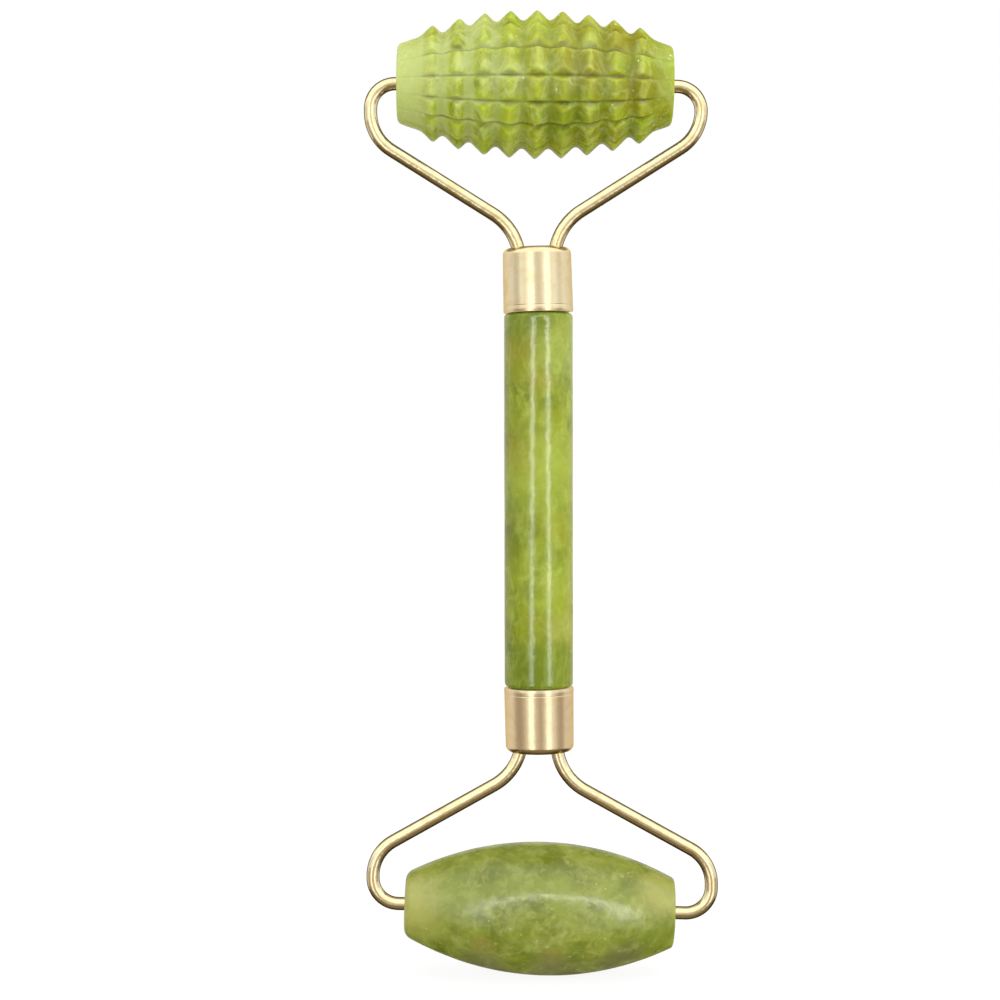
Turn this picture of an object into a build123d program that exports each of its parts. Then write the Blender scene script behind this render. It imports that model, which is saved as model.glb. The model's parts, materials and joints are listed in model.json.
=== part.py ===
from build123d import *
from math import cos, radians, sin, sqrt, tan
import os

# Jade face roller: a turned stone handle with a bent wire fork at each end.
# The upper fork carries a ridged stone roller, the lower fork a smooth one.
# Millimetres. Z runs along the handle, X along the rollers, and the origin is
# the centre of the handle. "Height" is the distance from the origin towards
# the head being described: upwards for the upper head, downwards for the lower.

# Handle: a straight stone rod, turned down at both ends to enter the ferrules
handle_diameter = 10.66
handle_length = 58.1
handle_shoulder_radius = 0.7
spigot_diameter = 9.35
spigot_length = 3.8
spigot_chamfer = 0.3

# Ferrules: drawn brass cups, a little narrower at the closed end that the fork's
# two legs pass through, with a rounded lip round the open rim, set off from the
# body by a fine groove. Neither is glued on quite straight: both lean to the
# left at the top of the object
ferrule_diameter = 10.8
ferrule_end_diameter = 10.58
ferrule_bore_diameter = 9.6
ferrule_length = 10.0
ferrule_end_wall = 0.6
ferrule_shoulder_radius = 1.1
ferrule_corner_radius = 0.6
ferrule_seat_gap = 0.12
upper_ferrule_lean = 1.4
lower_ferrule_lean = 0.8
lip_length = 0.95
lip_groove_depth = 0.02
lip_crown = 0.03
lip_groove_rounding = 0.12
wire_hole_clearance = 0.05
potting_gap = 0.05

# Wire of both forks. The legs leave the base U straight, and each is straight
# as far as leg_height plus its own lift
wire_diameter = 2.05
wire_tip_chamfer = 0.25
base_bend_radius = 2.6
leg_height = 37.0

# Upper fork, its pairs given left then right. Both axes are a little lower on
# the right, because the wire is bent by hand
upper_leg_offset = (2.88, 2.52)
upper_reach = (25.95, 25.25)
upper_lift = (-0.05, 0.4)
upper_slope = 32.1
upper_axis_height = 64.3
upper_axis_tilt = 0.65
upper_pivot_bend = 3.8
upper_elbow_bend = 6.8
upper_neck_bend = 8.8

# Lower fork
lower_leg_offset = (2.66, 2.8)
lower_reach = (25.95, 26.92)
lower_lift = (0.05, 0.9)
lower_slope = 29.1
lower_axis_height = 63.8
lower_axis_tilt = 2.0
lower_pivot_bend = 4.0
lower_elbow_bend = 6.2
lower_neck_bend = 8.5

# Bearing in each roller end: a plain nylon bush glued into a blind bore
bush_diameter = 3.6
bush_length = 10.0
bush_hole_depth = 9.3
bush_hole_chamfer = 0.2
running_clearance = 0.05
pivot_depth = 6.8

# Ridged roller: a barrel with nine turned rings, cut lengthways into pads
ridged_length = 42.45
ridged_offset = -0.5
ridged_floor_radius = 9.74
ridged_floor_arc = 62.0
ridged_end_rounding = 0.5
ring_count = 9
ring_pitch = 3.99
ring_shift = 0.18
ring_foot = 1.7
crest_radius = 11.4
crest_arc = 53.5
crest_rounding = 0.08
ring_groove_rounding = 0.78
pad_rows = 14
first_row_turn = 11.5
row_groove_angle = 48.0
row_groove_radius = 9.59
row_groove_arc = 66.0
row_groove_depth = 3.0
row_groove_sweep = 40.0

# Smooth roller: a plain barrel, a little fuller at its right end
smooth_length = 41.9
smooth_radius = 10.25
smooth_end_radius = (4.8, 5.3)
smooth_end_rounding = (0.9, 0.35)

# Worked out from the dimensions above
shoulder_height = handle_length / 2
rim_height = shoulder_height + ferrule_seat_gap
spigot_height = shoulder_height + spigot_length
ferrule_radius = ferrule_diameter / 2
ferrule_end_radius = ferrule_end_diameter / 2
lip_edge_radius = ferrule_radius - lip_groove_depth
bore_radius = ferrule_bore_diameter / 2
bore_depth = ferrule_length - ferrule_end_wall
wire_base_height = leg_height - base_bend_radius
wire_radius = wire_diameter / 2
bush_hole_radius = wire_radius + running_clearance
upper_fall = tan(radians(upper_axis_tilt))
lower_fall = tan(radians(lower_axis_tilt))

# A fork is drawn in the plane of its head, as (x, height)
upper_head = Plane(origin=(0, 0, 0), x_dir=(1, 0, 0), z_dir=(0, -1, 0))
lower_head = Plane(origin=(0, 0, 0), x_dir=(1, 0, 0), z_dir=(0, 1, 0))

# A roller is drawn in a plane that holds its axis, as (distance along, radius)
upper_axle = Plane(
    origin=(ridged_offset, 0, upper_axis_height - ridged_offset * upper_fall),
    x_dir=(1, 0, -upper_fall),
    z_dir=(0, -1, 0),
)
lower_axle = Plane(
    origin=(0, 0, -lower_axis_height),
    x_dir=(1, 0, -lower_fall),
    z_dir=(0, -1, 0),
)


def barrel_radius(middle_radius, arc_radius, x):
    """Radius at x of a barrel whose outline is one arc, largest at x = 0."""
    return middle_radius - arc_radius + sqrt(arc_radius**2 - x**2)


def arm_corners(side, leg_offset, reach, lift, slope, neck_bend, axis, tip):
    """Corners of one fork arm, from its pivot tip to the base of its leg.

    side is -1 for left and 1 for right. axis is the height of the roller axis
    at x = 0 and its rise per millimetre of x. tip is the x of the pivot's tip.
    The neck bend turns the leg outwards to the slope of the arm.
    """
    axis_height, axis_rise = axis
    neck_turn = radians(90 - slope)
    neck_height = leg_height + lift + neck_bend * tan(neck_turn / 2)
    elbow_height = neck_height + (reach - leg_offset) * tan(radians(slope))
    return [
        (tip, axis_height + tip * axis_rise),
        (side * reach, axis_height + side * reach * axis_rise),
        (side * reach, elbow_height),
        (side * leg_offset, neck_height),
        (side * leg_offset, wire_base_height),
    ]


def fork_centre_line(head, axle, length, offsets, reaches, lifts, slope, axis, bends):
    """Centre line of a fork's wire, from its left pivot tip to its right one."""
    inset = (length / 2 - pivot_depth) * axle.x_dir.X
    arms = [
        arm_corners(side, offset, reach, lift, slope, bends[-1], axis, axle.origin.X + side * inset)
        for side, offset, reach, lift in zip((-1, 1), offsets, reaches, lifts)
    ]
    radii = bends + [base_bend_radius, base_bend_radius] + bends[::-1]
    with BuildLine(head) as centre_line:
        FilletPolyline(*arms[0], *arms[1][::-1], radius=radii)
    return centre_line.line


def round_section(centre_line, radius):
    """Circle across the start of a centre line."""
    with BuildSketch(Plane(origin=centre_line @ 0, z_dir=centre_line % 0)) as section:
        Circle(radius)
    return section.sketch


upper_wire = fork_centre_line(
    upper_head,
    upper_axle,
    ridged_length,
    upper_leg_offset,
    upper_reach,
    upper_lift,
    upper_slope,
    (upper_axis_height, -upper_fall),
    [upper_pivot_bend, upper_elbow_bend, upper_neck_bend],
)
lower_wire = fork_centre_line(
    lower_head,
    lower_axle,
    smooth_length,
    lower_leg_offset,
    lower_reach,
    lower_lift,
    lower_slope,
    (lower_axis_height, lower_fall),
    [lower_pivot_bend, lower_elbow_bend, lower_neck_bend],
)


# Handle
with BuildPart() as handle:
    with BuildSketch(Plane.XY.offset(-shoulder_height)):
        Circle(handle_diameter / 2)
    extrude(amount=handle_length)
    fillet(handle.edges().filter_by(GeomType.CIRCLE), radius=handle_shoulder_radius)
    with BuildSketch(Plane.XY.offset(-spigot_height)):
        Circle(spigot_diameter / 2)
    extrude(amount=2 * spigot_height)
    edges_by_height = handle.edges().group_by(Axis.Z)
    chamfer(edges_by_height[0] + edges_by_height[-1], length=spigot_chamfer)


def seat_plane(head, lean):
    """Plane through the centre of a ferrule's rim, in which its profile is drawn.

    y is the distance from the rim towards the closed end.
    """
    turn = radians(lean)
    return Plane(
        origin=head.y_dir * rim_height,
        x_dir=(cos(turn), 0, sin(turn)),
        z_dir=head.z_dir,
    )


upper_seat = seat_plane(upper_head, upper_ferrule_lean)
lower_seat = seat_plane(lower_head, lower_ferrule_lean)


def make_ferrule(seat, wire):
    """Cup over the handle's spigot, its closed end pierced for the fork's legs."""
    with BuildPart() as ferrule:
        with BuildSketch(seat):
            with BuildLine():
                ThreePointArc(
                    (lip_edge_radius, 0),
                    (ferrule_radius + lip_crown, lip_length / 2),
                    (lip_edge_radius, lip_length),
                )
                FilletPolyline(
                    (lip_edge_radius, lip_length),
                    (ferrule_radius, lip_length + lip_groove_rounding),
                    (ferrule_end_radius, ferrule_length),
                    (0, ferrule_length),
                    (0, bore_depth),
                    (bore_radius, bore_depth),
                    (bore_radius, 0),
                    (lip_edge_radius, 0),
                    radius=[lip_groove_rounding, ferrule_shoulder_radius, 0, 0, ferrule_corner_radius, 0],
                )
            make_face()
        revolve(axis=Axis(seat.origin, seat.y_dir))
        sweep(
            round_section(wire, wire_radius + wire_hole_clearance),
            path=wire,
            mode=Mode.SUBTRACT,
        )
    return ferrule


upper_ferrule = make_ferrule(upper_seat, upper_wire)
lower_ferrule = make_ferrule(lower_seat, lower_wire)


def make_fork(wire):
    """One length of round wire, bent cold, with its two pivot tips eased."""
    with BuildPart() as fork:
        sweep(round_section(wire, wire_radius), path=wire)
        tips = fork.faces().filter_by(GeomType.PLANE).edges()
        chamfer(tips, length=wire_tip_chamfer)
    return fork


upper_fork = make_fork(upper_wire)
lower_fork = make_fork(lower_wire)


def make_potting(seat, wire):
    """Epoxy that fills the cup beyond the spigot and grips the fork's base."""
    with BuildPart() as potting:
        with BuildSketch(seat):
            with BuildLine():
                FilletPolyline(
                    (0, spigot_length + potting_gap),
                    (bore_radius, spigot_length + potting_gap),
                    (bore_radius, bore_depth),
                    (0, bore_depth),
                    radius=[0, 0, ferrule_corner_radius, 0],
                    close=True,
                )
            make_face()
        revolve(axis=Axis(seat.origin, seat.y_dir))
        sweep(round_section(wire, wire_radius), path=wire, mode=Mode.SUBTRACT)
    return potting


upper_potting = make_potting(upper_seat, upper_wire)
lower_potting = make_potting(lower_seat, lower_wire)


def end_plane(axle, length, side):
    """Plane on one end face of a roller, facing out."""
    outwards = axle.x_dir * side
    return Plane(origin=axle.origin + outwards * (length / 2), z_dir=outwards)


def bore_planes(axle, length):
    """Planes on both end faces of a roller."""
    return end_plane(axle, length, -1), end_plane(axle, length, 1)


def ridged_outline():
    """Corners of the ridged roller's outline, left to right, with their rounding.

    Every ring is a ridge with flanks at 45 degrees, so a corner that lies some
    distance along from a crest lies that same distance below it.
    """
    half = ridged_length / 2
    end_radius = barrel_radius(ridged_floor_radius, ridged_floor_arc, half)
    outer_ring = ring_pitch * (ring_count - 1) / 2
    foot_radius = barrel_radius(crest_radius, crest_arc, outer_ring) - ring_foot
    left_foot = (ring_shift - outer_ring - ring_foot, foot_radius)
    right_foot = (ring_shift + outer_ring + ring_foot, foot_radius)
    outline = [
        ((-half, 0), 0),
        ((-half, end_radius), ridged_end_rounding),
        (left_foot, ring_groove_rounding),
    ]
    for ring in range(ring_count):
        x = ring * ring_pitch - outer_ring
        crest = barrel_radius(crest_radius, crest_arc, x)
        outline.append(((x + ring_shift, crest), crest_rounding))
        if ring < ring_count - 1:
            next_crest = barrel_radius(crest_radius, crest_arc, x + ring_pitch)
            groove = (ring_pitch + crest - next_crest) / 2
            groove_bottom = (x + ring_shift + groove, crest - groove)
            outline.append((groove_bottom, ring_groove_rounding))
    outline += [
        (right_foot, ring_groove_rounding),
        ((half, end_radius), ridged_end_rounding),
        ((half, 0), 0),
    ]
    return outline


# One lengthways V groove over the top of the ridged roller, made by a V turned
# about a point far below the roller, so that its floor is a shallow arc
row_groove_plane = Plane(origin=upper_axle.origin, x_dir=(0, 1, 0), z_dir=upper_axle.x_dir)
row_groove_centre = upper_axle.from_local_coords((0, row_groove_radius - row_groove_arc, 0))
row_groove_top = row_groove_radius + row_groove_depth
row_groove_half_width = row_groove_depth * tan(radians(row_groove_angle / 2))
with BuildPart() as row_cutter:
    with BuildSketch(row_groove_plane) as row_section:
        with BuildLine():
            Polyline(
                (0, row_groove_radius),
                (row_groove_half_width, row_groove_top),
                (-row_groove_half_width, row_groove_top),
                close=True,
            )
        make_face()
    row_groove_axis = Axis(row_groove_centre, upper_axle.z_dir)
    revolve(
        row_section.sketch.rotate(row_groove_axis, -row_groove_sweep / 2),
        axis=row_groove_axis,
        revolution_arc=row_groove_sweep,
    )

# Ridged roller
with BuildPart() as ridged_roller:
    with BuildSketch(upper_axle):
        with BuildLine():
            ridged_corners = [corner for corner, rounding in ridged_outline()]
            ridged_radii = [rounding for corner, rounding in ridged_outline()]
            FilletPolyline(*ridged_corners, radius=ridged_radii, close=True)
        make_face()
    revolve(axis=Axis(upper_axle.origin, upper_axle.x_dir))
    with Locations(*bore_planes(upper_axle, ridged_length)):
        Hole(radius=bush_diameter / 2, depth=bush_length)
    for row in range(pad_rows):
        turn = first_row_turn + row * 360 / pad_rows
        add(
            row_cutter.part.rotate(Axis(upper_axle.origin, upper_axle.x_dir), turn),
            mode=Mode.SUBTRACT,
        )

# Smooth roller
with BuildPart() as smooth_roller:
    with BuildSketch(lower_axle):
        with BuildLine():
            left_rim = (-smooth_length / 2, smooth_end_radius[0])
            right_rim = (smooth_length / 2, smooth_end_radius[1])
            ThreePointArc(left_rim, (0, smooth_radius), right_rim)
            Polyline(right_rim, (right_rim[0], 0), (left_rim[0], 0), left_rim)
        make_face()
    revolve(axis=Axis(lower_axle.origin, lower_axle.x_dir))
    end_edges = smooth_roller.edges().filter_by(GeomType.CIRCLE).sort_by(Axis.X)
    fillet(end_edges[0], radius=smooth_end_rounding[0])
    fillet(end_edges[-1], radius=smooth_end_rounding[1])
    with Locations(*bore_planes(lower_axle, smooth_length)):
        Hole(radius=bush_diameter / 2, depth=bush_length)


def make_bush(axle, length, side):
    """Flush nylon plug with a blind hole that a fork's pivot turns in."""
    face = end_plane(axle, length, side)
    with BuildPart() as bush:
        with BuildSketch(face):
            Circle(bush_diameter / 2)
        extrude(amount=-bush_length)
        with Locations(face):
            Hole(radius=bush_hole_radius, depth=bush_hole_depth)
        outer_face = bush.faces().sort_by(Axis(face.origin, face.z_dir))[-1]
        chamfer(outer_face.inner_wires().edges(), length=bush_hole_chamfer)
    return bush


pieces = {
    "handle": handle,
    "upper_ferrule": upper_ferrule,
    "lower_ferrule": lower_ferrule,
    "upper_fork": upper_fork,
    "lower_fork": lower_fork,
    "upper_potting": upper_potting,
    "lower_potting": lower_potting,
    "ridged_roller": ridged_roller,
    "ridged_roller_left_bush": make_bush(upper_axle, ridged_length, -1),
    "ridged_roller_right_bush": make_bush(upper_axle, ridged_length, 1),
    "smooth_roller": smooth_roller,
    "smooth_roller_left_bush": make_bush(lower_axle, smooth_length, -1),
    "smooth_roller_right_bush": make_bush(lower_axle, smooth_length, 1),
}

os.makedirs("parts", exist_ok=True)
for name, piece in pieces.items():
    piece.part.label = name
    export_step(piece.part, f"parts/{name}.step")
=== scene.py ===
import json
import math

import bpy
import numpy as np
from mathutils import Matrix, Vector, noise


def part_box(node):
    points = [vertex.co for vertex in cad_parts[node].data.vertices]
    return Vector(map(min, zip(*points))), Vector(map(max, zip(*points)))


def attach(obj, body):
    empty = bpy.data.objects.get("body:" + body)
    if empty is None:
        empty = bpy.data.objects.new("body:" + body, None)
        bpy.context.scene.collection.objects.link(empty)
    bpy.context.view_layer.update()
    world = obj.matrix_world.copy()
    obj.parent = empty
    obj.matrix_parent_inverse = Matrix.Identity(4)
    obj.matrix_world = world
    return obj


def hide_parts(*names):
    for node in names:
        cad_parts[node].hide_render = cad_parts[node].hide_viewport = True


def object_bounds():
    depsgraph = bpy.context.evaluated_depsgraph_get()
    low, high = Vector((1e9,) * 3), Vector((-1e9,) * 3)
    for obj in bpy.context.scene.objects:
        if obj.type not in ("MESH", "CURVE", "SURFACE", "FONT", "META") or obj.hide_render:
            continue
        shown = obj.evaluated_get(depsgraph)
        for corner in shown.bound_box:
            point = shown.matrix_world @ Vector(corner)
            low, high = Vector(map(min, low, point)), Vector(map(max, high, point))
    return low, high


# Jade face roller. The three stones are built here as dense closed meshes with
# softened edges, and stand for their plain CAD nodes. The ferrules, forks,
# potting and bushes are the CAD nodes, with materials of their own.
# Shapes are written in millimetres and scaled to metres when a mesh is made.

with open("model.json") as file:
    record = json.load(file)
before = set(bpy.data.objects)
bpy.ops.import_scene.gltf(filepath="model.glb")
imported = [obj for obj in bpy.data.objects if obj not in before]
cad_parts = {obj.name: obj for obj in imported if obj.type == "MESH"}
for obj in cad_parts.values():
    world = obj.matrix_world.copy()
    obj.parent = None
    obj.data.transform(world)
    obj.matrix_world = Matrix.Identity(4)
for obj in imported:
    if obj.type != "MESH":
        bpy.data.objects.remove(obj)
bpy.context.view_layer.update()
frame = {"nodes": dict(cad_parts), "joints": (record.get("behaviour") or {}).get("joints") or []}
joints = {joint["child"]: joint for joint in frame["joints"]}
MM = 0.001


# ---------------------------------------------------------------- numbers

def srgb(red, green, blue):
    """Linear colour of an 8-bit sRGB one, with alpha 1."""
    shares = [value / 255 for value in (red, green, blue)]
    return tuple(
        share / 12.92 if share <= 0.04045 else ((share + 0.055) / 1.055) ** 2.4
        for share in shares
    ) + (1.0,)


def smooth_max(a, b, width):
    """The larger of a and b, with the corner between them rounded over width."""
    mix = np.clip(0.5 + 0.5 * (a - b) / width, 0, 1)
    return b + (a - b) * mix + width * mix * (1 - mix)


def smooth_min(a, b, width):
    return -smooth_max(-a, -b, width)


def barrel(middle, arc, x):
    """Radius at x of a barrel whose outline is one arc."""
    return middle - arc + np.sqrt(arc**2 - x**2)


def cloud(points, size, seed, octaves=3):
    """Smooth noise from -1 to 1 at each point, with features of about size."""
    shift = Vector((seed * 17.3, seed * 5.1, seed * 11.7))
    values = [
        noise.fractal(Vector(point) / size + shift, 1.0, 2.0, octaves) for point in points
    ]
    return np.array(values)


# ---------------------------------------------------------------- meshes

def lathe_mesh(name, rings, to_frame):
    """A closed mesh from rings of points, each (count, 3), capped at both ends.

    The first and last rings are closed with a fan. to_frame places it.
    """
    count = len(rings[0])
    points = [to_frame @ Vector(point) for ring in rings for point in ring]
    points = [point * MM for point in points]
    faces = []
    for row in range(len(rings) - 1):
        low = row * count
        for column in range(count):
            after = (column + 1) % count
            faces.append((low + column, low + after, low + count + after, low + count + column))
    for row, flip in ((0, True), (len(rings) - 1, False)):
        centre = len(points)
        middle = to_frame @ Vector(np.mean(rings[row], axis=0))
        points.append(middle * MM)
        for column in range(count):
            after = (column + 1) % count
            corner = (row * count + column, row * count + after)
            faces.append((centre, corner[1], corner[0]) if flip else (centre, *corner))
    mesh = bpy.data.meshes.new(name)
    mesh.from_pydata(points, [], faces)
    mesh.validate()
    mesh.polygons.foreach_set("use_smooth", [True] * len(mesh.polygons))
    mesh.update()
    piece = bpy.data.objects.new(name, mesh)
    bpy.context.scene.collection.objects.link(piece)
    return piece


def axis_matrix(joint):
    """Places a stone drawn about the x axis on its hinge, in millimetres."""
    along = Vector(joint["axis"]).normalized()
    back = Vector((0, 1, 0))
    up = along.cross(back)
    turn = Matrix((along, back, up)).transposed().to_4x4()
    return Matrix.Translation(Vector(joint["pos_m"]) / MM) @ turn


def ring_points(x, radius, angles):
    """Points of one ring about the x axis."""
    return np.stack([np.full_like(angles, x), radius * np.cos(angles), radius * np.sin(angles)], 1)


def surface_points(grid_x, radius, grid_a):
    """Points of a whole turned surface, in one list."""
    return np.stack(
        [grid_x, radius * np.cos(grid_a), radius * np.sin(grid_a)], -1
    ).reshape(-1, 3)


# Stations round each rounded edge, rings across each end face of a roller, and
# the blind bore in it
ROUNDING_STATIONS = 9
FACE_RINGS = 6
BORE_RADIUS = 1.8
BORE_RING_DEPTHS = (0.15, 10.0)


def end_cap_rings(x, radius, outwards, angles):
    """Rings of a roller's end face from its rim inwards, and of the bore in it."""
    rings = []
    for step in range(1, FACE_RINGS + 1):
        r = radius + (BORE_RADIUS - radius) * step / FACE_RINGS
        rings.append(ring_points(x, r, angles))
    for depth in BORE_RING_DEPTHS:
        rings.append(ring_points(x - outwards * depth, BORE_RADIUS, angles))
    return rings


def rounded_stations(half_length, edge_left, edge_right, stations):
    """Stations along a stone with extra ones packed into its rounded ends."""
    turn = np.linspace(0, math.pi / 2, ROUNDING_STATIONS)
    left = -half_length + edge_left * (1 - np.cos(turn))
    right = half_length - edge_right * (1 - np.cos(turn[::-1]))
    middle = np.linspace(left[-1], right[0], stations)[1:-1]
    return np.concatenate([left, middle, right])


def edge_rounding(x, half_length, edge_left, edge_right):
    """How far the surface at x lies below the stone's outline, at its rounded ends."""
    drop = np.zeros_like(x)
    for end, edge in ((-half_length, edge_left), (half_length, edge_right)):
        inside = np.abs(x - end)
        near = inside < edge
        drop[near] = edge - np.sqrt(np.maximum(edge**2 - (edge - inside[near]) ** 2, 0))
    return drop


# ---------------------------------------------------------------- ridged roller

RIDGED = {
    "length": 42.45,
    "end_rounding": 0.55,
    "floor_radius": 9.74,
    "floor_arc": 62.0,
    "rings": 9,
    "pitch": 3.99,
    "shift": 0.18,
    "crest_radius": 11.4,
    "crest_arc": 53.5,
    "rows": 14,
    "row_floor": 9.59,
    "row_arc": 66.0,
    "row_half_angle": 24.0,
    "crest_blunt": 0.24,
    "ring_valley_rounding": 1.25,
    "end_valley_rounding": 0.5,
    "row_edge_rounding": 0.50,
    "row_floor_blunt": 0.010,
    "row_floor_drop": 0.006,
    "row_mark_width": 0.16,
    "row_mark_overrun": 1.6,
    "row_mark_fade": 1.2,
    "relief_height": 1.5,
    # Unevenness of the hand work
    "ring_height_error": (-0.07, 0.03),
    "ring_place_error": 0.06,
    "ring_wander": (0.06, 0.04),
    "row_lead_error": 0.0008,
    "row_depth_error": (-0.10, 0.08),
    "waviness": 0.04,
    "chip_depth": 0.22,
    "chip_rarity": 0.25,
    "points_per_row": 24,
    "stations": 256,
    # Angle of the first groove from the top forwards, and how far each one is
    # from its even place, in degrees
    "first_row": 11.5,
    "row_errors": (3.4, 1.2, 0.8, 1.2, -0.8, -5.0, -4.5, -2.0, -1.0, 0.5, 1.5, -1.2, 0.8, -0.6),
    # How dark the painted shade along each groove is, from 0 to 1
    "row_marks": (0.5, 0.4, 0.45, 0.5, 0.65, 0.9, 0.7, 0.6, 0.5, 0.6, 0.5, 0.5, 0.6, 0.5),
}


def ridged_rings(rng):
    """Rings of the ridged roller: turned ridges cut lengthways by V grooves."""
    size = RIDGED
    half = size["length"] / 2
    around = size["points_per_row"] * size["rows"]
    row_turn = 2 * math.pi / size["rows"]
    angles = np.arange(around) * 2 * math.pi / around
    x = rounded_stations(half, size["end_rounding"], size["end_rounding"], size["stations"])
    grid_x, grid_a = np.meshgrid(x, angles, indexing="ij")

    # Each ring sits a little off its place and is not quite round
    outer = size["pitch"] * (size["rings"] - 1) / 2
    tents = None
    for ring in range(size["rings"]):
        middle = ring * size["pitch"] - outer
        crest = barrel(size["crest_radius"], size["crest_arc"], middle)
        crest += rng.uniform(*size["ring_height_error"])
        middle += size["shift"] + rng.uniform(-size["ring_place_error"], size["ring_place_error"])
        once, thrice = size["ring_wander"]
        wander = once * np.sin(grid_a + rng.uniform(0, 6.3))
        wander = wander + thrice * np.sin(3 * grid_a + rng.uniform(0, 6.3))
        blunt = size["crest_blunt"]
        tent = crest - np.sqrt((grid_x - middle - wander) ** 2 + blunt**2) + blunt * 0.7
        tents = tent if tents is None else smooth_max(tents, tent, size["ring_valley_rounding"])
    ends = barrel(size["floor_radius"], size["floor_arc"], grid_x)
    beyond = np.abs(grid_x - size["shift"]) > outer
    radius = np.where(beyond, smooth_max(tents, ends, size["end_valley_rounding"]), tents)

    # Each lengthways groove has its own depth and is a little out of line
    cut = np.full_like(radius, 99.0)
    line = np.zeros_like(radius)
    slope = 1 / math.tan(math.radians(size["row_half_angle"]))
    for row, (error, dark) in enumerate(zip(size["row_errors"], size["row_marks"])):
        centre = math.pi / 2 + math.radians(size["first_row"] + error) + row * row_turn
        lead = rng.uniform(-size["row_lead_error"], size["row_lead_error"])
        depth = rng.uniform(*size["row_depth_error"])
        away = (grid_a - centre - lead * grid_x + math.pi) % (2 * math.pi) - math.pi
        near = np.abs(away) < row_turn * 0.9
        floor = barrel(size["row_floor"] + depth, size["row_arc"], grid_x)
        side = np.sqrt(np.sin(away) ** 2 + size["row_floor_blunt"] ** 2) - size["row_floor_drop"]
        flank = floor / np.maximum(np.cos(away) - side * slope, 0.2)
        cut = np.where(near, np.minimum(cut, flank), cut)
        # The painted shade along each groove, for the stone's material
        off_line = np.sin(away) * radius / size["row_mark_width"]
        mark = np.exp(-(off_line**2)) * near * dark
        line = np.maximum(line, mark)
    to_mark_end = outer + size["row_mark_overrun"] - np.abs(grid_x - size["shift"])
    line *= np.clip(to_mark_end / size["row_mark_fade"], 0, 1)
    radius = smooth_min(radius, cut, size["row_edge_rounding"])

    points = surface_points(grid_x, radius, grid_a)
    hand_work = cloud(points, 2.4, seed=3).reshape(radius.shape)
    nicks = cloud(points, 0.8, seed=5, octaves=2).reshape(radius.shape)
    nicks = np.clip(nicks - size["chip_rarity"], 0, 1)
    relief = np.clip((radius - ends) / size["relief_height"], 0, 1)
    radius = radius + size["waviness"] * hand_work - size["chip_depth"] * nicks * relief
    radius = radius - edge_rounding(x, half, size["end_rounding"], size["end_rounding"])[:, None]
    soft = np.stack([grid_x / size["crest_arc"], np.cos(grid_a), np.sin(grid_a)], -1)
    soft /= np.linalg.norm(soft, axis=-1, keepdims=True)
    return angles, x, radius, {"relief": relief, "line": line, "soft": soft}


def stone_from_rings(name, angles, x, radius, to_frame):
    """A roller's closed mesh from its radius at each station and angle."""
    rings = [ring_points(station, r, angles) for station, r in zip(x, radius)]
    left = end_cap_rings(x[0], radius[0], -1, angles)
    right = end_cap_rings(x[-1], radius[-1], 1, angles)
    return lathe_mesh(name, left[::-1] + rings + right, to_frame)


def store_layers(piece, layers, to_frame):
    """Keeps values found at each surface point, for the stone's material.

    relief is the height above the grooves, line the nearness to a lengthways
    groove, and soft the direction that the plain barrel would face there.
    """
    count = len(piece.data.vertices)
    rings_before = FACE_RINGS + len(BORE_RING_DEPTHS)
    start = rings_before * layers["line"].shape[1]
    for name in ("relief", "line"):
        values = np.zeros(count)
        values[start : start + layers[name].size] = layers[name].ravel()
        piece.data.attributes.new(name, "FLOAT", "POINT").data.foreach_set("value", values)
    facing = np.array([vertex.normal[:] for vertex in piece.data.vertices])
    turned = layers["soft"].reshape(-1, 3) @ np.array(to_frame.to_3x3()).T
    facing[start : start + len(turned)] = turned
    store = piece.data.attributes.new("soft", "FLOAT_VECTOR", "POINT")
    store.data.foreach_set("vector", facing.ravel())


def make_ridged_roller():
    angles, x, radius, layers = ridged_rings(np.random.default_rng(11))
    to_frame = axis_matrix(joints["ridged_head"])
    piece = stone_from_rings("ridged_roller_stone", angles, x, radius, to_frame)
    store_layers(piece, layers, to_frame)
    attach(piece, "ridged_head")
    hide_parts("ridged_roller")
    return piece


# ---------------------------------------------------------------- smooth roller

SMOOTH = {
    "length": 41.9,
    "radius": 10.28,
    "end_radii": (4.8, 5.3),
    "left_rounding": 0.9,
    "right_rounding": 0.35,
    "waviness": 0.04,
    "points_around": 224,
    "stations": 200,
}


def make_smooth_roller():
    """A barrel with one arc for its outline, a little fuller at its right end."""
    size = SMOOTH
    half = size["length"] / 2
    left_end, right_end = size["end_radii"]
    drop = size["radius"] - (left_end + right_end) / 2
    arc = (half**2 + drop**2) / (2 * drop)
    taper = (right_end - left_end) / (2 * half)
    angles = np.arange(size["points_around"]) * 2 * math.pi / size["points_around"]
    x = rounded_stations(half, size["left_rounding"], size["right_rounding"], size["stations"])
    grid_x, grid_a = np.meshgrid(x, angles, indexing="ij")
    radius = barrel(size["radius"], arc, grid_x) + taper * grid_x
    points = surface_points(grid_x, radius, grid_a)
    hand_work = cloud(points, 7.0, seed=8, octaves=2).reshape(radius.shape)
    radius = radius + size["waviness"] * hand_work
    radius = radius - edge_rounding(x, half, size["left_rounding"], size["right_rounding"])[:, None]
    to_frame = axis_matrix(joints["smooth_head"])
    piece = stone_from_rings("smooth_roller_stone", angles, x, radius, to_frame)
    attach(piece, "smooth_head")
    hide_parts("smooth_roller")
    return piece


# ---------------------------------------------------------------- handle

HANDLE = {
    "radius": 5.33,
    "half_length": 29.05,
    "shoulder": 0.7,
    "spigot": 4.675,
    "spigot_chamfer": 0.3,
    "waviness": 0.022,
    "points_around": 144,
    "stations": 180,
}


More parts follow.
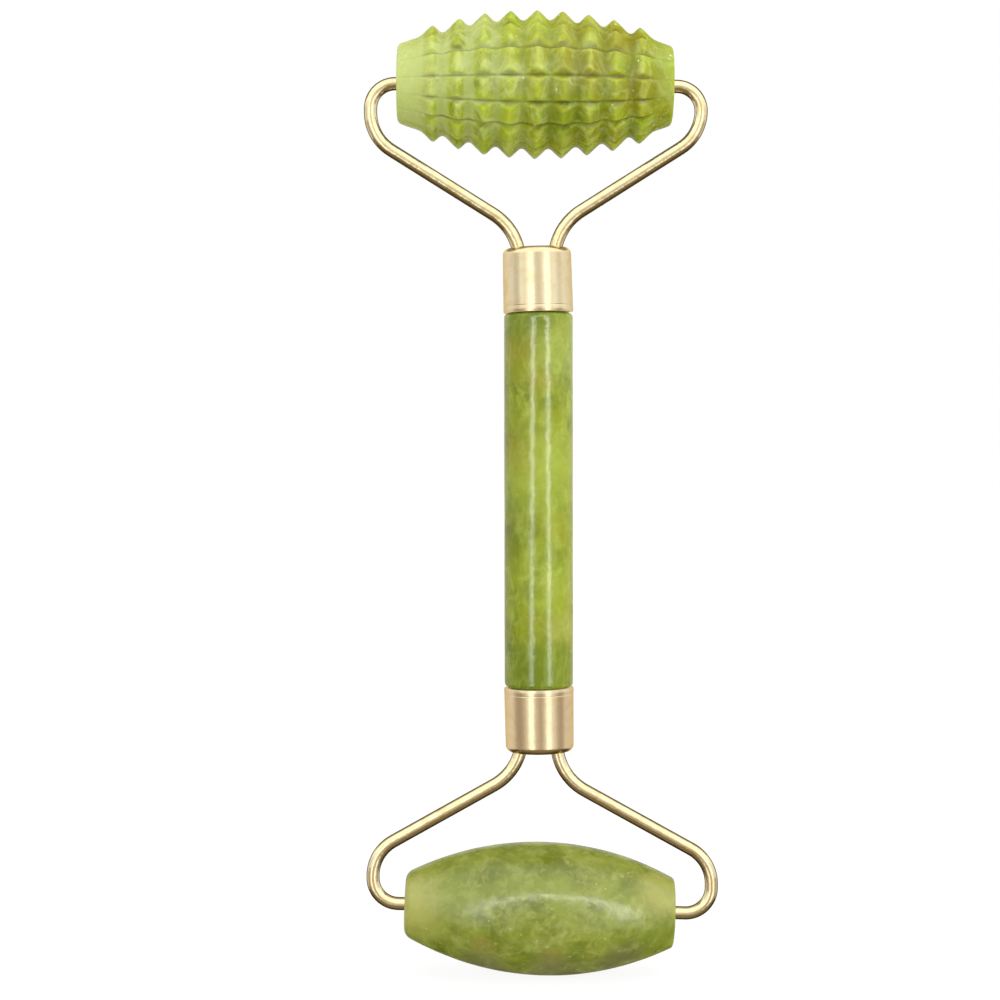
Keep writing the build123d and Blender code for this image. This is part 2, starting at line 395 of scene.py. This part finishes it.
def make_handle():
    """The handle, drawn about the x axis and turned upright."""
    size = HANDLE
    low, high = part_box("handle")
    half_all = (high.z - low.z) / 2 / MM
    half = size["half_length"]
    angles = np.arange(size["points_around"]) * 2 * math.pi / size["points_around"]
    turn = np.linspace(0, math.pi / 2, ROUNDING_STATIONS)
    shoulder_x = half - size["shoulder"] * (1 - np.sin(turn))
    shoulder_r = size["radius"] - size["shoulder"] * (1 - np.cos(turn))
    body_x = np.linspace(-half + size["shoulder"], half - size["shoulder"], size["stations"])[1:-1]
    x = np.concatenate([-shoulder_x[::-1], body_x, shoulder_x])
    r = np.concatenate([shoulder_r[::-1], np.full(len(body_x), size["radius"]), shoulder_r])
    grid_x, grid_a = np.meshgrid(x, angles, indexing="ij")
    radius = np.repeat(r[:, None], len(angles), 1)
    points = surface_points(grid_x, radius, grid_a)
    hand_work = cloud(points, 9.0, seed=21, octaves=2).reshape(radius.shape)
    radius = radius + size["waviness"] * hand_work
    rings = [ring_points(station, ring, angles) for station, ring in zip(x, radius)]
    spigot_outline = (
        (half_all, size["spigot"] - size["spigot_chamfer"]),
        (half_all - size["spigot_chamfer"], size["spigot"]),
        (half, size["spigot"]),
    )
    spigots = [
        [ring_points(end * at, across, angles) for at, across in spigot_outline] for end in (-1, 1)
    ]
    upright = Matrix(((0, 0, -1), (0, 1, 0), (1, 0, 0))).to_4x4()
    piece = lathe_mesh("handle_stone", spigots[0] + rings + spigots[1][::-1], upright)
    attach(piece, "handle_and_forks")
    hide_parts("handle")
    return piece


# ---------------------------------------------------------------- material helpers

class Graph:
    """A material's or world's node tree, with short ways to add and join nodes."""

    def __init__(self, tree):
        self.tree = tree
        tree.nodes.clear()

    def node(self, kind, **settings):
        made = self.tree.nodes.new(kind)
        for name, value in settings.items():
            setattr(made, name, value)
        return made

    def put(self, value, socket):
        """Feeds a socket from another socket, or sets it to a plain value."""
        if isinstance(value, bpy.types.NodeSocket):
            self.tree.links.new(value, socket)
        else:
            socket.default_value = value

    def maths(self, operation, *values):
        made = self.node("ShaderNodeMath", operation=operation)
        for value, socket in zip(values, made.inputs):
            self.put(value, socket)
        return made.outputs[0]

    def vector_maths(self, operation, *values):
        """The vector result, or the number of an operation that gives one."""
        made = self.node("ShaderNodeVectorMath", operation=operation)
        for value, socket in zip(values, made.inputs):
            self.put(value, socket)
        gives_number = operation in ("DISTANCE", "DOT_PRODUCT")
        return made.outputs["Value" if gives_number else "Vector"]

    def axes(self, vector):
        """The x, y and z of a vector."""
        made = self.node("ShaderNodeSeparateXYZ")
        self.put(vector, made.inputs[0])
        return made.outputs

    def grey(self, level):
        made = self.node("ShaderNodeCombineColor")
        for channel in range(3):
            self.put(level, made.inputs[channel])
        return made.outputs[0]

    def facing(self):
        """0 where the surface faces the viewer, 1 at its outline."""
        made = self.node("ShaderNodeLayerWeight")
        made.inputs["Blend"].default_value = 0.5
        return made.outputs["Facing"]

    def noise(self, where, scale, detail=3.0, rough=0.5, warp=0.0):
        made = self.node("ShaderNodeTexNoise")
        self.put(where, made.inputs["Vector"])
        made.inputs["Scale"].default_value = scale
        made.inputs["Detail"].default_value = detail
        made.inputs["Roughness"].default_value = rough
        made.inputs["Distortion"].default_value = warp
        return made.outputs["Fac"]

    def steps(self, value, low, high, to_low=0.0, to_high=1.0):
        """Smoothly maps low..high to to_low..to_high, held beyond the ends."""
        made = self.node("ShaderNodeMapRange", interpolation_type="SMOOTHSTEP")
        self.put(value, made.inputs["Value"])
        made.inputs["From Min"].default_value = low
        made.inputs["From Max"].default_value = high
        made.inputs["To Min"].default_value = to_low
        made.inputs["To Max"].default_value = to_high
        return made.outputs["Result"]

    def mix(self, share, a, b, blend="MIX"):
        made = self.node("ShaderNodeMix", data_type="RGBA", blend_type=blend)
        self.put(share, made.inputs[0])
        self.put(a, made.inputs[6])
        self.put(b, made.inputs[7])
        return made.outputs[2]

    def ramp(self, value, stops):
        made = self.node("ShaderNodeValToRGB")
        self.put(value, made.inputs[0])
        elements = made.color_ramp.elements
        while len(elements) < len(stops):
            elements.new(0.5)
        for element, (place, colour) in zip(elements, stops):
            element.position = place
            element.color = colour
        return made.outputs[0]

    def scaled_place(self, scale, shift=(0, 0, 0), stretch=(1, 1, 1)):
        """Object coordinates in units of 1/scale metres, moved by shift."""
        coordinates = self.node("ShaderNodeTexCoord")
        mapping = self.node("ShaderNodeMapping")
        self.put(coordinates.outputs["Object"], mapping.inputs["Vector"])
        mapping.inputs["Location"].default_value = shift
        mapping.inputs["Scale"].default_value = tuple(scale * part for part in stretch)
        return mapping.outputs["Vector"]

    def bump(self, height, distance, strength=1.0, under=None):
        made = self.node("ShaderNodeBump")
        made.inputs["Distance"].default_value = distance
        made.inputs["Strength"].default_value = strength
        self.put(height, made.inputs["Height"])
        if under is not None:
            self.put(under, made.inputs["Normal"])
        return made.outputs["Normal"]


def new_material(name):
    material = bpy.data.materials.new(name)
    material.use_nodes = True
    graph = Graph(material.node_tree)
    shader = graph.node("ShaderNodeBsdfPrincipled")
    output = graph.node("ShaderNodeOutputMaterial")
    graph.tree.links.new(shader.outputs[0], output.inputs[0])
    return material, graph, shader


# ---------------------------------------------------------------- stone

def stone_material(name, look):
    """Polished jade: cloudy green with patches, pale mist and fine grain inside.

    look holds the palette, the size of the clouds and the places of the
    patches, in millimetres.
    """
    material, graph, shader = new_material(name)
    place = graph.scaled_place(1 / MM)

    # Places bent out of shape, so that no patch has a smooth edge
    warp = graph.node("ShaderNodeTexNoise")
    graph.put(place, warp.inputs["Vector"])
    warp.inputs["Scale"].default_value = 0.22
    warp.inputs["Detail"].default_value = 5
    warp.inputs["Roughness"].default_value = 0.6
    reach = 2.5
    away = graph.vector_maths(
        "MULTIPLY_ADD", warp.outputs["Color"], (2 * reach,) * 3, (-reach,) * 3
    )
    bent = graph.vector_maths("ADD", place, away)

    shifted = graph.scaled_place(1 / MM, look["shift"])
    blotches = graph.noise(shifted, 1 / look["cloud_size"], 4, 0.55, 0.5)
    flecks = graph.noise(shifted, 2.6 / look["cloud_size"], 5, 0.6, 1.0)
    colour = graph.mix(graph.steps(blotches, 0.34, 0.60), look["deep"], look["body"])
    colour = graph.mix(graph.steps(flecks, 0.46, 0.72, 0, 0.7), colour, look["light"])
    for towards, scale, low, high, share, shift, side in look["mottles"]:
        spots = graph.noise(graph.scaled_place(1 / MM, shift), scale, 4, 0.6, 0.6)
        amount = graph.steps(spots, low, high, 0, share)
        if side:
            fade = 9.0 * side
            kept = graph.steps(graph.axes(bent)[0], -fade, fade)
            amount = graph.maths("MULTIPLY", amount, kept)
        colour = graph.mix(amount, colour, towards)
    for centre, size, towards, share in look["patches"]:
        gap = graph.vector_maths("DISTANCE", bent, centre)
        patch = graph.steps(gap, size, size * 0.25, 0, share)
        colour = graph.mix(patch, colour, towards)

    streaked = graph.scaled_place(1 / MM, look["shift"], look["streak"])
    streaks = graph.noise(streaked, 0.30, 4, 0.6, 0.5)
    veil = graph.steps(streaks, 0.48, 0.76, 0, look["veil"])
    colour = graph.mix(veil, colour, look["mist"])
    wisps = graph.noise(streaked, 0.16, 5, 0.55, 1.2)
    wisps = graph.maths("ABSOLUTE", graph.maths("SUBTRACT", wisps, 0.5))
    colour = graph.mix(graph.steps(wisps, 0.045, 0.0, 0, look["wisps"]), colour, look["mist"])
    grain = graph.steps(graph.noise(place, 1.3, 4, 0.7), 0.25, 0.75, 0.955, 1.045)
    colour = graph.mix(1.0, colour, graph.grey(grain), "MULTIPLY")

    # Crests painted paler as painted light, valleys on the right painted darker as
    # painted shade and misty on the left, painted shade along the lengthways grooves,
    # and shading drawn towards the plain barrel's, as light inside the stone does
    under = None
    if look["relief"]:
        relief = graph.node("ShaderNodeAttribute", attribute_name="relief").outputs["Fac"]
        line = graph.node("ShaderNodeAttribute", attribute_name="line").outputs["Fac"]
        left = graph.steps(graph.axes(bent)[0], 3.0, -15.0)
        low = graph.steps(relief, 0.45, 0.05)
        # Painted light: paler crests
        colour = graph.mix(graph.steps(relief, 0.35, 1.0, 0, 0.15), colour, look["light"])
        # Painted shade: darker valleys towards the right
        valley_shade_share = graph.maths("MULTIPLY", low, graph.steps(left, 0, 1, 0.22, 0.0))
        colour = graph.mix(valley_shade_share, colour, look["deep"])
        mist_share = graph.maths("MULTIPLY", low, graph.steps(left, 0, 1, 0.0, 0.55))
        colour = graph.mix(mist_share, colour, look["mist"])
        # Painted shade along the lengthways grooves, stronger in some places than others
        groove_shade_strength = graph.steps(graph.noise(place, 0.35, 3, 0.6), 0.40, 0.60, 0.25, 0.75)
        colour = graph.mix(graph.maths("MULTIPLY", line, groove_shade_strength), colour, look["groove"])
        soft = graph.node("ShaderNodeAttribute", attribute_name="soft").outputs["Vector"]
        turned = graph.node("ShaderNodeVectorTransform", vector_type="NORMAL")
        turned.convert_from = "OBJECT"
        turned.convert_to = "WORLD"
        graph.put(soft, turned.inputs[0])
        blend = graph.node("ShaderNodeMix", data_type="VECTOR")
        graph.put(look["softness"], blend.inputs[0])
        graph.put(graph.node("ShaderNodeNewGeometry").outputs["Normal"], blend.inputs[4])
        graph.put(turned.outputs[0], blend.inputs[5])
        under = graph.vector_maths("NORMALIZE", blend.outputs[1])

    # Small bright specks, in groups
    cells = graph.node("ShaderNodeTexVoronoi", feature="F1")
    graph.put(place, cells.inputs["Vector"])
    cells.inputs["Scale"].default_value = 0.7
    spots = graph.steps(cells.outputs["Distance"], 0.15, 0.07)
    chosen = graph.steps(graph.noise(place, 0.45, 2), 0.54, 0.60)
    speck = graph.maths("MULTIPLY", graph.maths("MULTIPLY", spots, chosen), look["specks"])
    colour = graph.mix(speck, colour, srgb(236, 240, 205))
    graph.put(colour, shader.inputs["Base Color"])

    smear = graph.noise(place, 0.9, 4, 0.6)
    gloss = look["gloss"]
    graph.put(graph.steps(smear, 0.3, 0.7, gloss, gloss + 0.10), shader.inputs["Roughness"])
    shader.inputs["Subsurface Weight"].default_value = look["glow"]
    shader.inputs["Subsurface Radius"].default_value = (1.0, 1.1, 0.30)
    shader.inputs["Subsurface Scale"].default_value = look["reach"] * MM
    shader.inputs["IOR"].default_value = 1.6
    # The shine fades towards the outline, where it would burn out to white
    shine = look["shine"]
    fade_from, fade_to = look["shine_fade"]
    shine = graph.steps(graph.facing(), fade_from, fade_to, shine, 0.12 * shine)
    graph.put(shine, shader.inputs["Specular IOR Level"])
    normal = graph.bump(graph.noise(place, 0.35, 3, 0.5), 0.00011, 1.0, under)
    normal = graph.bump(graph.noise(place, 5.0, 3, 0.6), 0.000012, 1.0, normal)
    graph.put(normal, shader.inputs["Normal"])
    return material


# ---------------------------------------------------------------- metal and plastic

def gold_material(name, colour, shade, roughness, mottle, brushed, rim_shade, dents):
    """Pale gold plating: soft mottling, fine wiped lines and a darkened outline.

    brushed stretches the wiped lines, and dents is the depth of the unevenness
    in millimetres.
    """
    edge_shade = srgb(74, 54, 30)
    material, graph, shader = new_material(name)
    place = graph.scaled_place(1 / MM)
    blotches = graph.noise(place, 0.45, 4, 0.6, 0.8)
    lines = graph.noise(graph.scaled_place(1 / MM, (0, 0, 0), brushed), 1.0, 4, 0.6)
    tone = graph.mix(graph.steps(blotches, 0.42, 0.75, 0, mottle), colour, shade)
    # Painted shade: the outline darkens towards brown, for dark surroundings mirrored at a grazing
    # angle
    edge = graph.steps(graph.facing(), 0.38, 0.66, 0, rim_shade)
    tone = graph.mix(edge, tone, edge_shade)
    graph.put(tone, shader.inputs["Base Color"])
    graph.put(tone, shader.inputs["Specular Tint"])
    shader.inputs["Metallic"].default_value = 1.0
    wear = graph.maths(
        "ADD", graph.steps(blotches, 0.35, 0.7, 0, 0.05), graph.steps(lines, 0.3, 0.7, 0, 0.04)
    )
    graph.put(graph.maths("ADD", wear, roughness), shader.inputs["Roughness"])
    normal = graph.bump(lines, 0.000004)
    normal = graph.bump(graph.noise(place, 0.8, 3, 0.5), dents * MM, 1.0, normal)
    graph.put(normal, shader.inputs["Normal"])
    return material


def plastic_material(name, colour, shade, roughness):
    material, graph, shader = new_material(name)
    place = graph.scaled_place(1 / MM)
    speck = graph.noise(place, 2.5, 4, 0.6)
    graph.put(graph.mix(graph.steps(speck, 0.35, 0.7), colour, shade), shader.inputs["Base Color"])
    graph.put(graph.steps(speck, 0.3, 0.7, roughness, roughness + 0.12), shader.inputs["Roughness"])
    graph.put(graph.bump(speck, 0.00001), shader.inputs["Normal"])
    return material


def paint(piece, material):
    """Gives every slot of a piece one material."""
    if not piece.material_slots:
        piece.data.materials.append(material)
    for entry in piece.material_slots:
        entry.material = material


# ---------------------------------------------------------------- build

handle = make_handle()
ridged = make_ridged_roller()
smooth = make_smooth_roller()

# Colours of the patches and mottles in the stones; SHADOW is painted shade
OLIVE = srgb(146, 138, 10)
PALE = srgb(196, 208, 124)
FROST = srgb(203, 213, 138)
FRESH = srgb(176, 192, 74)
DARK = srgb(108, 126, 22)
STRAW = srgb(184, 182, 96)
RUST = srgb(156, 136, 66)
INCLUSION = srgb(58, 48, 26)
SHADOW = srgb(112, 110, 76)

# Each mottle: colour, scale, the noise range that it fills, its share, its
# shift, and the side it keeps to (-1 left, 1 right, 0 both). Each patch: centre,
# size, colour and share.
HANDLE_LOOK = {
    "deep": srgb(114, 128, 14),
    "body": srgb(142, 154, 26),
    "light": srgb(174, 187, 62),
    "mist": srgb(186, 198, 98),
    "shift": (3.1, 0.4, 7.7),
    "cloud_size": 6.0,
    "streak": (1.0, 1.0, 0.5),
    "veil": 0.45,
    "wisps": 0.15,
    "relief": False,
    "specks": 0.0,
    "gloss": 0.08,
    "shine": 0.30,
    "shine_fade": (0.60, 0.92),
    "glow": 0.45,
    "reach": 2.0,
    "mottles": [
        (OLIVE, 0.22, 0.50, 0.70, 0.45, (11.0, 3.0, 5.0), 0),
    ],
    "patches": [
        ((3.2, -4.5, 23.0), 8.0, PALE, 0.24),
        ((-3.6, -4.0, 23.5), 4.5, OLIVE, 0.60),
        ((0.0, -5.3, 18.5), 3.2, OLIVE, 0.70),
        ((-1.0, -5.3, 29.5), 8.0, DARK, 0.65),
        ((1.0, -5.3, 4.0), 11.0, FRESH, 0.50),
        ((-3.8, -4.0, 7.5), 5.0, OLIVE, 0.50),
        ((-3.4, -4.2, -5.0), 6.0, DARK, 0.45),
        ((2.6, -4.6, -13.0), 8.0, FRESH, 0.35),
        ((3.6, -4.0, -20.0), 4.0, STRAW, 0.35),
        ((0.0, -5.3, -27.5), 9.5, DARK, 0.85),
    ],
}
RIDGED_LOOK = {
    "deep": srgb(132, 144, 12),
    "body": srgb(162, 178, 34),
    "light": srgb(190, 202, 78),
    "mist": srgb(206, 218, 134),
    # Painted shade along the lengthways grooves
    "groove": srgb(94, 108, 8),
    "shift": (0.7, 5.2, 1.9),
    "cloud_size": 4.5,
    "streak": (1.0, 1.0, 0.7),
    "veil": 0.35,
    "wisps": 0.30,
    "relief": True,
    "softness": 0.66,
    "specks": 0.9,
    "gloss": 0.20,
    "shine": 0.25,
    "shine_fade": (0.35, 0.80),
    "glow": 0.9,
    "reach": 2.2,
    "mottles": [
        (srgb(182, 178, 24), 0.26, 0.50, 0.66, 0.50, (4.0, 9.0, 2.0), 0),
        (OLIVE, 0.20, 0.44, 0.60, 0.65, (1.0, 6.0, 8.0), 1),
        (srgb(128, 132, 44), 0.36, 0.50, 0.66, 0.45, (9.0, 2.0, 6.0), 1),
        (FROST, 0.30, 0.50, 0.68, 0.70, (7.0, 2.0, 3.0), -1),
        (srgb(180, 190, 124), 0.50, 0.52, 0.70, 0.50, (2.0, 4.0, 9.0), 0),
    ],
    "patches": [
        ((-23.5, -7.0, 65.0), 12.5, FROST, 0.72),
        ((-9.0, -6.0, 73.0), 5.0, FROST, 0.60),
        ((-7.0, -10.5, 65.5), 4.0, PALE, 0.50),
        ((-16.0, -4.0, 72.5), 2.2, RUST, 0.30),
        ((0.5, -6.0, 72.0), 4.5, FRESH, 0.55),
        ((4.5, -7.0, 73.0), 4.5, OLIVE, 0.60),
        ((7.5, -10.0, 66.0), 6.5, OLIVE, 0.70),
        ((12.5, -5.0, 70.5), 6.5, OLIVE, 0.80),
        ((15.0, -8.0, 61.5), 5.5, OLIVE, 0.70),
        ((4.0, -9.0, 57.0), 7.5, DARK, 0.45),
        ((-5.0, -8.0, 58.0), 4.5, FRESH, 0.40),
        ((21.0, -6.0, 68.0), 5.5, FRESH, 0.75),
        ((20.5, -7.0, 60.0), 3.0, RUST, 0.35),
        ((18.1, -8.4, 65.7), 0.9, INCLUSION, 0.80),
    ],
}
SMOOTH_LOOK = {
    "deep": srgb(112, 123, 32),
    "body": srgb(140, 151, 54),
    "light": srgb(164, 171, 82),
    "mist": srgb(176, 182, 104),
    "shift": (6.3, 2.2, 4.8),
    "cloud_size": 4.5,
    "streak": (1.0, 1.0, 1.0),
    "veil": 0.50,
    "wisps": 0.0,
    "relief": False,
    "specks": 0.25,
    "gloss": 0.13,
    "shine": 0.52,
    "shine_fade": (0.30, 0.72),
    "glow": 0.5,
    "reach": 2.0,
    "mottles": [
        (srgb(112, 130, 26), 0.30, 0.52, 0.68, 0.45, (5.0, 1.0, 7.0), 0),
        (STRAW, 0.26, 0.54, 0.70, 0.40, (8.0, 3.0, 1.0), 0),
    ],
    "patches": [
        ((-20.0, -5.0, -62.0), 8.0, STRAW, 0.75),
        ((-13.5, -8.0, -60.5), 7.0, DARK, 0.20),
        ((-2.0, -6.0, -56.0), 7.0, DARK, 0.30),
        ((-4.0, -10.0, -66.0), 6.5, DARK, 0.20),
        ((-9.1, -9.0, -68.0), 2.8, RUST, 0.45),
        ((2.2, -8.5, -69.5), 3.0, RUST, 0.35),
        ((19.0, -5.0, -60.5), 6.0, STRAW, 0.60),
        ((17.5, -5.5, -67.0), 4.5, DARK, 0.65),
        # Painted shade along the underside of the roller
        ((-9.0, -4.5, -72.5), 7.0, SHADOW, 0.70),
        ((2.0, -4.5, -73.5), 8.0, SHADOW, 0.75),
        ((12.0, -4.5, -72.0), 7.0, SHADOW, 0.70),
    ],
}
paint(handle, stone_material("handle_jade", HANDLE_LOOK))
paint(ridged, stone_material("ridged_jade", RIDGED_LOOK))
paint(smooth, stone_material("smooth_jade", SMOOTH_LOOK))

ferrule_gold = gold_material(
    "ferrule_gold",
    srgb(248, 232, 190),
    srgb(237, 207, 156),
    roughness=0.12,
    mottle=0.5,
    brushed=(0.3, 0.3, 9.0),
    rim_shade=0.0,
    dents=0.02,
)
wire_gold = gold_material(
    "wire_gold",
    srgb(252, 240, 196),
    srgb(240, 218, 160),
    roughness=0.08,
    mottle=0.8,
    brushed=(2.0, 2.0, 2.0),
    rim_shade=0.80,
    dents=0.06,
)
nylon = plastic_material("nylon", srgb(222, 222, 212), srgb(204, 204, 190), roughness=0.45)
resin = plastic_material("resin", srgb(206, 192, 150), srgb(186, 168, 122), roughness=0.2)
for node in ("upper_ferrule", "lower_ferrule"):
    paint(frame["nodes"][node], ferrule_gold)
for node in ("upper_fork", "lower_fork"):
    paint(frame["nodes"][node], wire_gold)
for node in ("upper_potting", "lower_potting"):
    paint(frame["nodes"][node], resin)
for head in ("ridged_roller", "smooth_roller"):
    for side in ("left", "right"):
        paint(frame["nodes"][f"{head}_{side}_bush"], nylon)


# ---------------------------------------------------------------- stage

def make_floor():
    """A pale floor that the smooth roller stands on."""
    low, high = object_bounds()
    reach = 3.0
    mesh = bpy.data.meshes.new("floor")
    corners = [(-reach, -reach), (reach, -reach), (reach, reach), (-reach, reach)]
    mesh.from_pydata([(x, y, low.z) for x, y in corners], [], [(0, 1, 2, 3)])
    floor = bpy.data.objects.new("floor", mesh)
    bpy.context.scene.collection.objects.link(floor)
    material, _, shader = new_material("floor_white")
    shader.inputs["Base Color"].default_value = (0.12, 0.12, 0.12, 1)
    shader.inputs["Roughness"].default_value = 0.9
    shader.inputs["Specular IOR Level"].default_value = 0.0
    shader.inputs["Emission Color"].default_value = (1, 1, 1, 1)
    shader.inputs["Emission Strength"].default_value = 0.92
    paint(floor, material)
    floor.visible_glossy = False
    floor.visible_diffuse = False


def make_studio():
    """Surrounding light, in three parts.

    The camera sees plain white. Polished metal and stone mirror a room of soft
    walls, brighter above the horizon. Everything else is lit by a smooth glow
    that is strongest from the upper right of the camera.
    """
    white = (1, 1, 1, 1)
    ceiling = (1.25, 1.24, 1.18, 1)
    bench = (0.22, 0.165, 0.09, 1)
    far_wall = (0.30, 0.25, 0.18, 1)
    far_floor = (0.08, 0.06, 0.035, 1)
    key_light = Vector((0.42, -0.72, 0.55)).normalized()
    glow_mean, glow_swing = 0.84, 0.70

    world = bpy.data.worlds.new("studio")
    bpy.context.scene.world = world
    world.use_nodes = True
    world.cycles.sampling_method = "NONE"
    graph = Graph(world.node_tree)
    coordinates = graph.node("ShaderNodeTexCoord")
    direction = coordinates.outputs["Generated"]
    east, north, up = graph.axes(direction)
    # Azimuth in turns: 0.5 is towards the camera, and it grows to the right
    azimuth = graph.maths("ARCTAN2", east, graph.maths("MULTIPLY", north, -1.0))
    turns = graph.maths("ADD", graph.maths("DIVIDE", azimuth, 2 * math.pi), 0.5)

    def wall(bands, tint):
        """Brightness of a wall at each azimuth in degrees, tinted where it is dim."""
        stops = []
        for degrees, level in bands:
            warm = [1 - (1 - part) * max(0.0, 1 - level) for part in tint]
            stops.append(((degrees + 180) / 360, (*[level * part for part in warm], 1)))
        return graph.ramp(turns, stops)

    above = wall(
        [
            (-180, 0.72), (-120, 0.80), (-94, 0.78), (-80, 0.62), (-70, 0.66), (-59, 1.0),
            (-44, 0.90), (-33, 1.2), (-27, 1.6), (-17, 1.5), (-9, 0.80), (0, 0.70),
            (9, 0.76), (18, 0.98), (27, 1.6), (37, 1.5), (45, 0.90), (54, 1.0),
            (63, 0.92), (76, 0.72), (92, 0.88), (130, 0.78), (180, 0.72),
        ],
        tint=(1.0, 0.93, 0.88),
    )
    below = wall(
        [
            (-180, 0.72), (-110, 0.76), (-97, 0.70), (-84, 0.44), (-68, 0.38), (-54, 0.50),
            (-40, 0.80), (-31, 1.5), (-23, 1.4), (-14, 0.66), (-4, 0.54), (5, 0.44),
            (13, 0.58), (21, 0.85), (28, 1.5), (36, 1.4), (43, 0.90), (54, 0.74),
            (64, 0.50), (76, 0.40), (86, 0.48), (96, 0.70), (180, 0.74),
        ],
        tint=(1.0, 0.68, 0.50),
    )
    mirrored = graph.mix(graph.steps(up, -0.09, 0.03), below, above)
    mirrored = graph.mix(graph.steps(up, 0.16, 0.45), mirrored, ceiling)
    mirrored = graph.mix(graph.steps(up, -0.31, -0.60), mirrored, bench)
    behind = graph.maths("MULTIPLY", graph.steps(north, -0.15, 0.45), graph.steps(up, 0.25, 0.50))
    mirrored = graph.mix(behind, mirrored, far_wall)
    behind = graph.maths("MULTIPLY", graph.steps(up, -0.30, -0.60), graph.steps(north, -0.40, 0.10))
    mirrored = graph.mix(behind, mirrored, far_floor)

    toward = graph.vector_maths("DOT_PRODUCT", direction, key_light)
    glow = graph.grey(graph.maths("MULTIPLY_ADD", toward, glow_swing, glow_mean))

    path = graph.node("ShaderNodeLightPath")
    lit = graph.mix(path.outputs["Is Glossy Ray"], glow, mirrored)
    seen = graph.mix(path.outputs["Is Camera Ray"], lit, white)
    background = graph.node("ShaderNodeBackground")
    graph.put(seen, background.inputs["Color"])
    background.inputs["Strength"].default_value = 1.0
    output = graph.node("ShaderNodeOutputWorld")
    graph.tree.links.new(background.outputs[0], output.inputs[0])


def make_lamp(name, azimuth, elevation, roll, width, height, radiance, lit):
    """A rectangular lamp whose mirror image is seen only on the stones.

    All angles are degrees as seen from the object, with azimuth 0 towards the
    camera. lit is the collection that it lights.
    """
    away = 1.5
    turn = (
        Matrix.Rotation(math.radians(azimuth), 4, "Z")
        @ Matrix.Rotation(math.radians(90 - elevation), 4, "X")
        @ Matrix.Rotation(math.radians(roll), 4, "Z")
    )
    data = bpy.data.lights.new(name, "AREA")
    data.shape = "RECTANGLE"
    data.size = 2 * away * math.tan(math.radians(width / 2))
    data.size_y = 2 * away * math.tan(math.radians(height / 2))
    data.energy = radiance * math.pi * data.size * data.size_y
    lamp = bpy.data.objects.new(name, data)
    bpy.context.scene.collection.objects.link(lamp)
    lamp.matrix_world = turn @ Matrix.Translation((0, 0, away))
    lamp.visible_camera = False
    lamp.visible_diffuse = False
    lamp.light_linking.receiver_collection = lit


def make_hoop(name, pieces, centre_elevation, strength, left_share):
    """The upper half of a large round lamp in front, broad at its sides.

    It draws two lines down the handle, further apart lower down, and an arched
    line along the smooth roller. left_share dims its left side.
    """
    lit = bpy.data.collections.new(name)
    for piece in pieces:
        lit.objects.link(piece)
    centre_azimuth = 5.3
    hoop_radius = 32.3
    parts = 15
    overlap = 1.02
    first, last = -14.0, 194.0
    step = (last - first) / parts
    for part in range(parts):
        around = first + (part + 0.5) * step
        across = math.cos(math.radians(around))
        up = math.sin(math.radians(around))
        share = 1.0 if across > 0 else 1.0 - (1.0 - left_share) * across * across
        thickness = 2.4 + 8.5 * across * across
        radiance = 16.0 - 9.0 * across * across
        make_lamp(
            f"{name}_{part}",
            centre_azimuth + hoop_radius * across,
            centre_elevation + hoop_radius * up,
            around - 90,
            math.radians(step) * hoop_radius * overlap,
            thickness,
            radiance * share * strength,
            lit,
        )


def make_camera():
    """At the front, a little above the handle's middle and looking slightly down.

    The object stands right of the centre of the frame and leans by a hair.
    """
    frame_width = 0.1556
    distance = 0.350
    sensor = 36.0
    aim = Vector((-0.0386 * frame_width, 0, 0.00005))
    pitch = math.radians(1.55)
    lean = math.radians(0.10)
    data = bpy.data.cameras.new("camera")
    data.sensor_width = sensor
    data.lens = sensor * distance / frame_width
    camera = bpy.data.objects.new("camera", data)
    bpy.context.scene.collection.objects.link(camera)
    turn = Matrix.Rotation(math.pi / 2 - pitch, 4, "X") @ Matrix.Rotation(-lean, 4, "Z")
    camera.matrix_world = Matrix.Translation(aim) @ turn @ Matrix.Translation((0, 0, distance))
    bpy.context.scene.camera = camera


make_floor()
make_studio()
make_hoop("handle_hoop", [handle], centre_elevation=-17.0, strength=1.0, left_share=1.0)
make_hoop("roller_hoop", [ridged, smooth], centre_elevation=-3.0, strength=0.58, left_share=0.45)
for stone in (handle, ridged, smooth):
    stone.visible_glossy = False
make_camera()
bpy.context.scene.view_settings.view_transform = "Standard"
